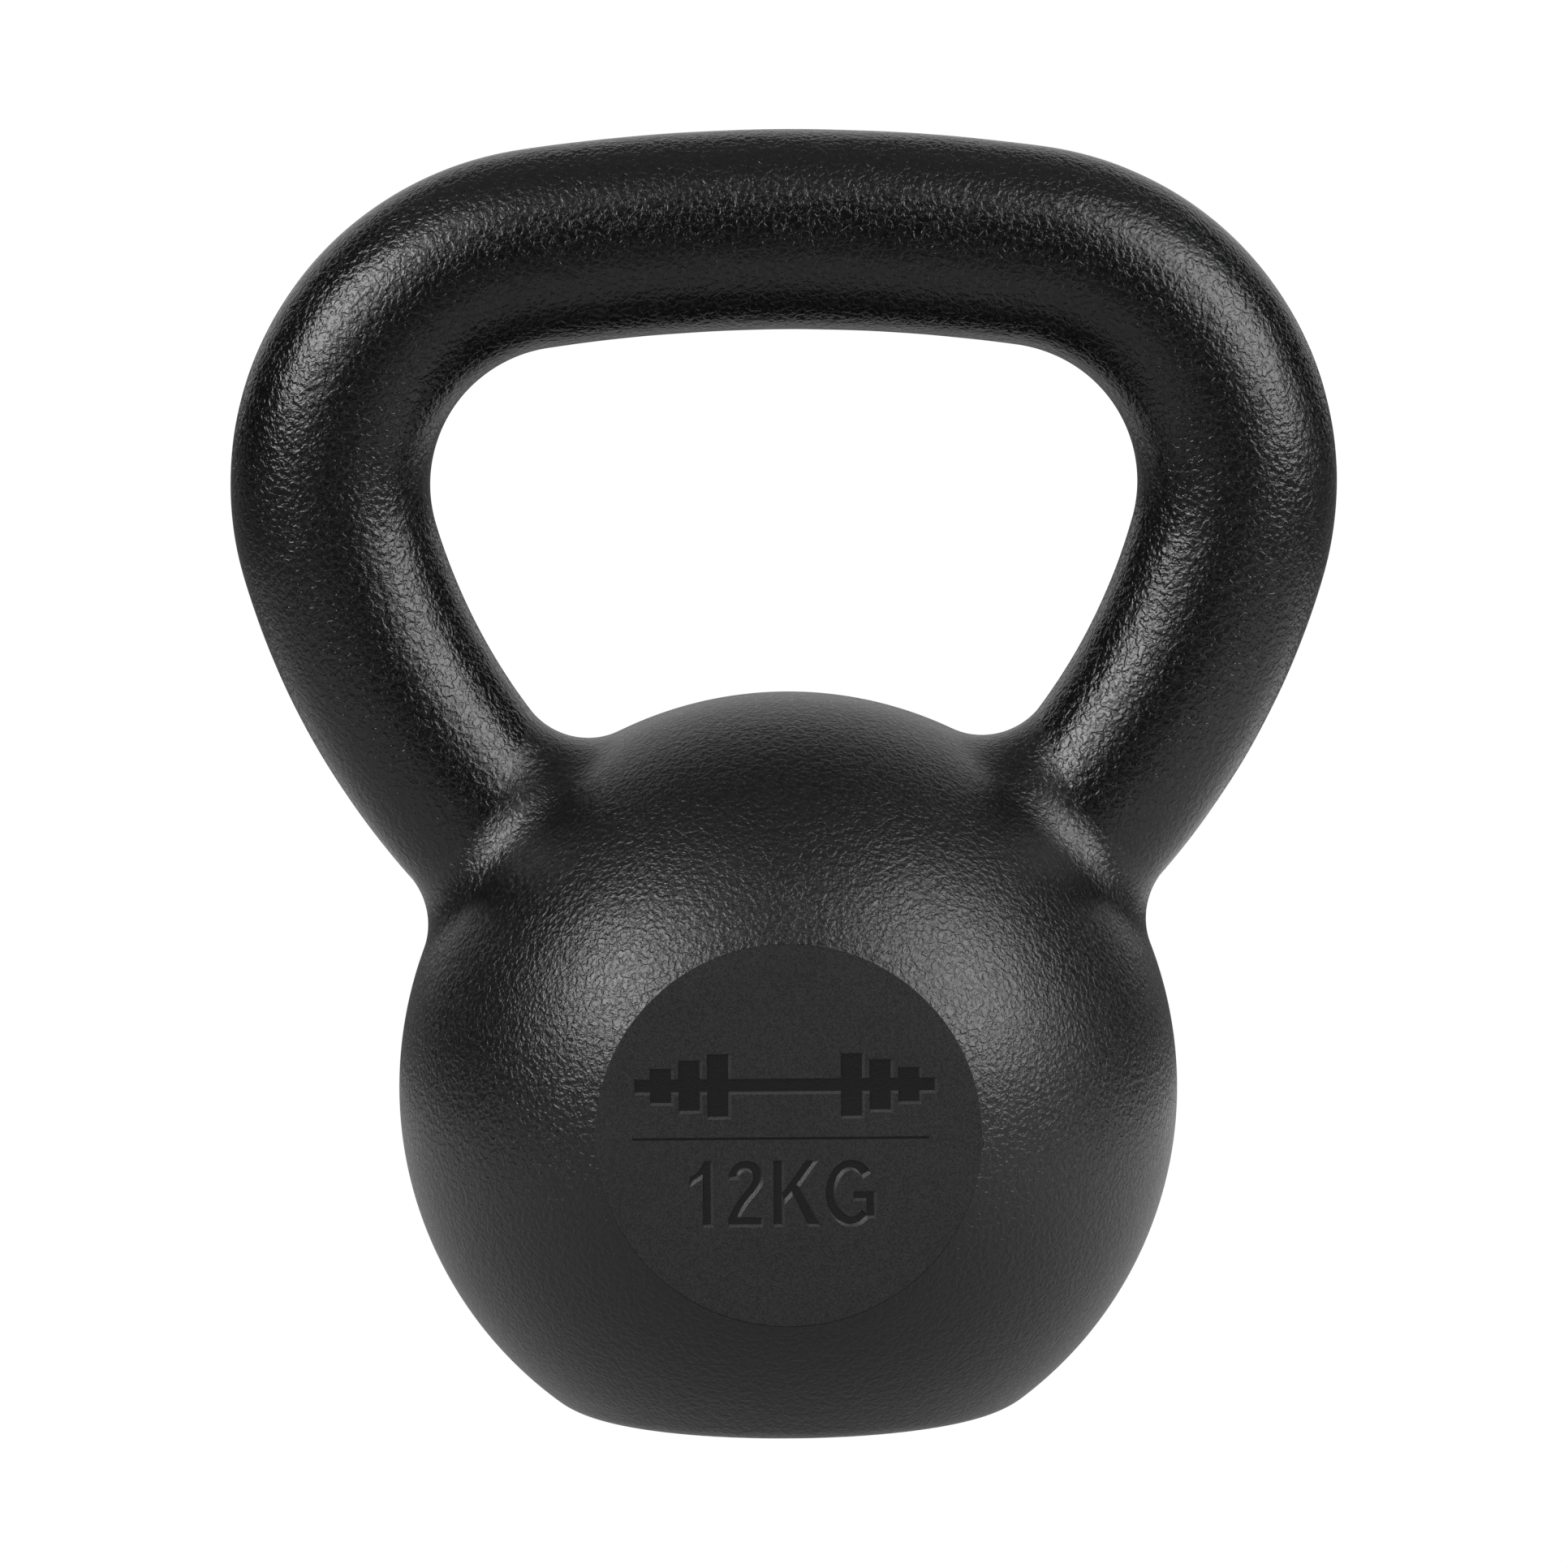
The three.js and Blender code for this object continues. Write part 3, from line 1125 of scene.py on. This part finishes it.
@dataclass
class Mark:
    """A generic mark sunk into a disc: a barbell, a rule under it, and the weight.

    The walls slope at the right and the bottom of each stroke and stand upright at the left and the top.
    """

    depth: float = 0.32 * MM
    slope: float = 0.52 * MM
    rule_slope: float = 0.2 * MM
    clearance: float = 1 * MM
    numerals: Numerals = field(default_factory=Numerals)
    capital: float = 11.8 * MM
    numerals_x: float = -17.4 * MM
    numerals_y: float = -16.2 * MM
    rule_x: float = -27.3 * MM
    rule_y: float = -0.75 * MM
    rule_length: float = 51.9 * MM
    rule_width: float = 0.50 * MM
    barbell_x: float = -0.4 * MM
    barbell_y: float = 8.7 * MM
    bar_length: float = 53.0 * MM
    bar_width: float = 2.8 * MM
    plate_heights: tuple[float, ...] = (11.6 * MM, 9.4 * MM, 6.6 * MM)
    plate_width: float = 4.2 * MM
    plate_gap: float = 0.8 * MM
    first_plate: float = 9.6 * MM

    def cutter(self, outline: Points, slope: float, face: float) -> bpy.types.Object:
        """One closed cutter with an outline at the face and a shifted, smaller foot.

        Args:
            outline: its anticlockwise outline at the face.
            slope: how far the sloping walls lean.
            face: the face's distance from the ball's middle.

        Returns:
            The cutter.
        """
        foot = inset(outline, slope / 2) + np.array([-slope / 2, slope / 2])
        levels = ((foot, face - self.depth), (outline, face), (outline, face + self.clearance))
        count = len(outline)
        points = [(x, y, z) for ring, z in levels for x, y in ring]
        faces = [tuple(reversed(range(count))), tuple(range(2 * count, 3 * count))]
        for low in (0, count):
            for corner in range(count):
                after = (corner + 1) % count
                faces.append((low + corner, low + after, low + count + after, low + count + corner))
        return new_piece("stroke", mesh_of("stroke", points, [], faces))

    def barbell(self) -> list[Points]:
        """The outlines of the barbell's bar and plates."""
        blocks = [(-self.bar_length / 2, self.bar_length, self.bar_width)]
        for index, height in enumerate(self.plate_heights):
            near = self.first_plate + index * (self.plate_width + self.plate_gap)
            blocks.append((near, self.plate_width, height))
            blocks.append((-near - self.plate_width, self.plate_width, height))
        return [
            block(self.barbell_x + x, self.barbell_y - height / 2, width, height)
            for x, width, height in blocks
        ]

    def cutters(self, face: float) -> list[bpy.types.Object]:
        """Every cutter of the mark, at the distance of the disc's face."""
        origin = np.array([self.numerals_x, self.numerals_y])
        weight = [origin + self.capital * outline for outline in self.numerals.outlines()]
        rule = block(self.rule_x, self.rule_y, self.rule_length, self.rule_width)
        strokes = [self.cutter(outline, self.slope, face) for outline in weight + self.barbell()]
        return strokes + [self.cutter(rule, self.rule_slope, face)]


@dataclass
class BasePlug:
    """The plug in the base: a chamfered cylinder with a six-sided key recess."""

    radius: float
    bottom: float
    top: float
    chamfer: float = 0.5 * MM
    key_radius: float = 3.5 * MM
    key_depth: float = 5.0 * MM
    key_sides: int = 6
    key_clearance: float = 2 * MM
    sides: int = 128
    sharp_angle: float = 30

    def build(self, finish: bpy.types.Material) -> bpy.types.Object:
        """The finished plug."""
        profile = [
            (0.0, self.bottom),
            (self.radius - self.chamfer, self.bottom),
            (self.radius, self.bottom + self.chamfer),
            (self.radius, self.top - self.chamfer),
            (self.radius - self.chamfer, self.top),
            (0.0, self.top),
        ]
        piece = new_piece("key_plug", turned("key_plug", profile, self.sides))
        low, high = self.bottom - self.key_clearance, self.bottom + self.key_depth
        recess = [(0.0, low), (self.key_radius, low), (self.key_radius, high), (0.0, high)]
        cut(piece, [new_piece("key", turned("key", recess, self.key_sides))])
        dress(piece, finish)
        smooth(piece, self.sharp_angle)
        return piece


# ------------------------------------------------------------------------------------- the studio


@dataclass(frozen=True)
class SoftBox:
    """A soft light, aimed at the kettlebell from a direction."""

    name: str
    azimuth: float
    elevation: float
    distance: float
    width: float
    height: float
    radiance: float

    def place(self, target: Vector) -> None:
        """Adds the light.

        Args:
            target: what it is aimed at.
        """
        data = bpy.data.lights.new(self.name, "AREA")
        data.shape = "RECTANGLE"
        data.size = self.width
        data.size_y = self.height
        data.energy = self.radiance * math.pi * self.width * self.height
        light = bpy.data.objects.new(self.name, data)
        bpy.context.scene.collection.objects.link(light)
        azimuth, elevation = math.radians(self.azimuth), math.radians(self.elevation)
        level = math.cos(elevation)
        away = Vector((math.sin(azimuth) * level, -math.cos(azimuth) * level, math.sin(elevation)))
        light.location = target + self.distance * away
        light.rotation_euler = away.to_track_quat("Z", "Y").to_euler()
        light.visible_camera = False


@dataclass
class Studio:
    """A white floor in a dark room with soft lights, and the camera."""

    target: Vector
    view_width: float = 279.2 * MM
    camera_distance: float = 3.0
    camera_elevation: float = 7.47
    camera_roll: float = 0.43
    sensor: float = 36.0
    room: float = 0.02
    clip_end: float = 50.0
    floor_radius: float = 6.0
    floor_thickness: float = 20 * MM
    sheet_thickness: float = 0.1 * MM
    sheet_sides: int = 96
    dark_sheet_top: float = 0.2 * MM
    glow_sheet_top: float = 0.4 * MM
    glow_sheet_radius: float = 0.45
    lights: tuple[SoftBox, ...] = (
        SoftBox("left_softbox", -60, 29, 1.6, 0.84, 0.80, 7.4),
        SoftBox("left_wall", -48, 28, 1.8, 1.50, 1.30, 1.4),
        SoftBox("left_high", -42, 52, 1.6, 0.80, 0.60, 1.0),
        SoftBox("left_low", -32, 12, 1.7, 0.80, 0.50, 0.45),
        SoftBox("right_softbox", 62, 25, 1.6, 0.80, 1.00, 4.4),
        SoftBox("right_wall", 60, 28, 1.8, 1.90, 1.60, 1.7),
        SoftBox("right_high", 46, 50, 1.6, 0.90, 0.60, 1.9),
        SoftBox("right_low", 36, 13, 1.7, 0.90, 0.60, 0.65),
        SoftBox("right_side", 84, 7, 1.5, 1.10, 0.36, 0.8),
        SoftBox("front_high", 5, 50, 1.7, 1.30, 0.80, 0.17),
        SoftBox("ceiling", 0, 88, 1.5, 2.40, 2.40, 0.20),
        SoftBox("rear_wall", 180, 22, 2.0, 3.60, 1.50, 0.65),
    )

    def sheet(self, glow: Glow, radius: float, top: float, thickness: float) -> bpy.types.Object:
        """Adds a round sheet of the stage.

        Args:
            glow: its finish and its name.
            radius: its radius.
            top: its upper height.
            thickness: its thickness.

        Returns:
            The sheet.
        """
        low = top - thickness
        profile = [(0.0, low), (radius, low), (radius, top), (0.0, top)]
        sheet = new_piece(glow.name, turned(glow.name, profile, self.sheet_sides))
        sheet.data.materials.append(glow.material())
        return sheet

    def floor(self) -> None:
        """The white floor, and a dark and a grey glowing sheet that stand for it in reflections only, as
        painted reflections.
        """
        white = Glow("pale_floor", 1.0, 1.0, 1.0, colour=0.10)
        dark = Glow("dark_reflection_sheet", 0.12, 0.12, 0.12)
        grey = Glow("glowing_reflection_sheet", 0.40, 0.58, 0.82)
        thin = self.sheet_thickness
        self.sheet(white, self.floor_radius, 0.0, self.floor_thickness)
        # Painted reflection: a dark glowing sheet over the floor, seen only in reflections.
        self.sheet(dark, self.floor_radius, self.dark_sheet_top, thin).visible_camera = False
        # Painted reflection: a grey glowing sheet near the kettlebell, brighter towards both sides and
        # most to the right, seen only in reflections.
        self.sheet(grey, self.glow_sheet_radius, self.glow_sheet_top, thin).visible_camera = False

    def world(self) -> None:
        """The room: white where the camera sees it, dark where the kettlebell reflects it."""
        world = bpy.data.worlds.new("room")
        world.use_nodes = True
        tree = world.node_tree
        tree.nodes.clear()
        path = tree.nodes.new("ShaderNodeLightPath")
        dark = tree.nodes.new("ShaderNodeBackground")
        dark.inputs["Strength"].default_value = self.room
        white = tree.nodes.new("ShaderNodeBackground")
        white.inputs["Color"].default_value = (1.0, 1.0, 1.0, 1.0)
        white.inputs["Strength"].default_value = 1.0
        mix = tree.nodes.new("ShaderNodeMixShader")
        out = tree.nodes.new("ShaderNodeOutputWorld")
        tree.links.new(path.outputs["Is Camera Ray"], mix.inputs[0])
        tree.links.new(dark.outputs[0], mix.inputs[1])
        tree.links.new(white.outputs[0], mix.inputs[2])
        tree.links.new(mix.outputs[0], out.inputs["Surface"])
        bpy.context.scene.world = world

    def camera(self) -> None:
        """The camera, in front and a little above, with a long lens."""
        data = bpy.data.cameras.new("camera")
        data.sensor_width = self.sensor
        data.lens = self.sensor * self.camera_distance / self.view_width
        data.clip_end = self.clip_end
        camera = bpy.data.objects.new("camera", data)
        bpy.context.scene.collection.objects.link(camera)
        elevation = math.radians(self.camera_elevation)
        away = Vector((0, -math.cos(elevation), math.sin(elevation)))
        camera.location = self.target + self.camera_distance * away
        aim = Euler((math.pi / 2 - elevation, 0, 0)).to_matrix()
        roll = Matrix.Rotation(-math.radians(self.camera_roll), 3, "Z")
        camera.rotation_euler = (aim @ roll).to_euler()
        bpy.context.scene.camera = camera

    def build(self) -> None:
        """Sets up the whole studio."""
        self.camera()
        self.world()
        self.floor()
        for light in self.lights:
            light.place(self.target)
        bpy.context.scene.view_settings.view_transform = "Standard"
        bpy.context.scene.view_settings.look = "None"


# --------------------------------------------------------------------------------------- assembly


@dataclass
class Kettlebell:
    """The whole kettlebell, sized from the frame's own boxes."""

    fit: float = 0.3 * MM
    disc_gap: float = -0.01 * MM
    disc_lift: float = 0.2 * MM
    plug_gap: float = 0.10 * MM
    ball_centre: float = 57.5 * MM
    bore_reach: float = 23 * MM

    def register(self, piece: bpy.types.Object, node: str) -> None:
        """Puts a finished piece on the body in place of its CAD node.

        Args:
            piece: the finished piece.
            node: the CAD node it stands for.
        """
        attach(piece, BODY)
        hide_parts(node)
        log.info("%s stands for %s: %d faces", piece.name, node, len(piece.data.polygons))

    def handle(self) -> Handle:
        """The bar, from the CAD handle's box."""
        low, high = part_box("handle")
        radius = (high.y - low.y) / 2
        return Handle(Centreline(high.z - radius), radius)

    def bell(self, handle: Handle, discs: Sequence[WeightDisc]) -> Bell:
        """The bell, from its own box and those of what sits in it.

        Args:
            handle: the bar whose roots it holds.
            discs: the front and the rear disc.

        Returns:
            The bell.
        """
        _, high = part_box("bell")
        _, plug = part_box("base_plug")
        _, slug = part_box("calibration_slug")
        return Bell(
            ball=Ball(high.x, self.ball_centre, (high.z - self.ball_centre) / high.x),
            handle=handle,
            seats=tuple((disc.radius + self.disc_gap, disc.back - self.disc_gap) for disc in discs),
            disc_height=discs[0].centre_height,
            plug_radius=plug.x + self.plug_gap,
            plug_top=plug.z + self.fit,
            bore_radius=slug.x + self.fit,
            bore_top=slug.z + self.bore_reach,
        )

    def disc(self, side: Side, node: str) -> WeightDisc:
        """A weight disc, from its CAD node's box."""
        low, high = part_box(node)
        face = max(abs(low.y), abs(high.y)) + self.disc_lift
        radius = (high.x - low.x) / 2 + self.fit
        return WeightDisc(side, radius, face, high.y - low.y + self.disc_lift, (low.z + high.z) / 2)

    def build(self) -> None:
        """Builds every piece in order and reports it."""
        handle = self.handle()
        front = self.disc(Side.FRONT, "front_weight_disc")
        rear = self.disc(Side.REAR, "rear_weight_disc")
        mark = Mark()
        ball_coat = PowderCoat().material()
        bar_coat = PowderCoat(
            name="bar_powder_coat",
            roughness=0.16,
            wrinkle_size=1.05 * MM,
            wrinkle_depth=0.095 * MM,
            # painted shade in the bar's wrinkle hollows
            hollow_shade=(0.0020, 0.0020, 0.0021),
            crest=(0.0042, 0.0042, 0.0044),
        ).material()
        face = DiscFace(front.face_distance, mark.depth).material()
        self.register(self.bell(handle, (front, rear)).build(ball_coat), "bell")
        self.register(handle.build(bar_coat), "handle")
        self.register(front.build("front_disc", face, mark), "front_weight_disc")
        self.register(rear.build("rear_disc", face), "rear_weight_disc")
        low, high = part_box("base_plug")
        self.register(BasePlug(high.x, low.z, high.z).build(ball_coat), "base_plug")
        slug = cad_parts["calibration_slug"]
        dress(slug, TurnedIron().material())
        log.info("calibration_slug keeps its CAD shape, in turned iron")


def main() -> None:
    """Builds the studio and the kettlebell."""
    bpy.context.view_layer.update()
    Studio(Vector(VIEW_CENTRE)).build()
    Kettlebell().build()


if __name__ == "__main__":
    logging.basicConfig(level=logging.INFO, format="%(name)s: %(message)s")
    main()
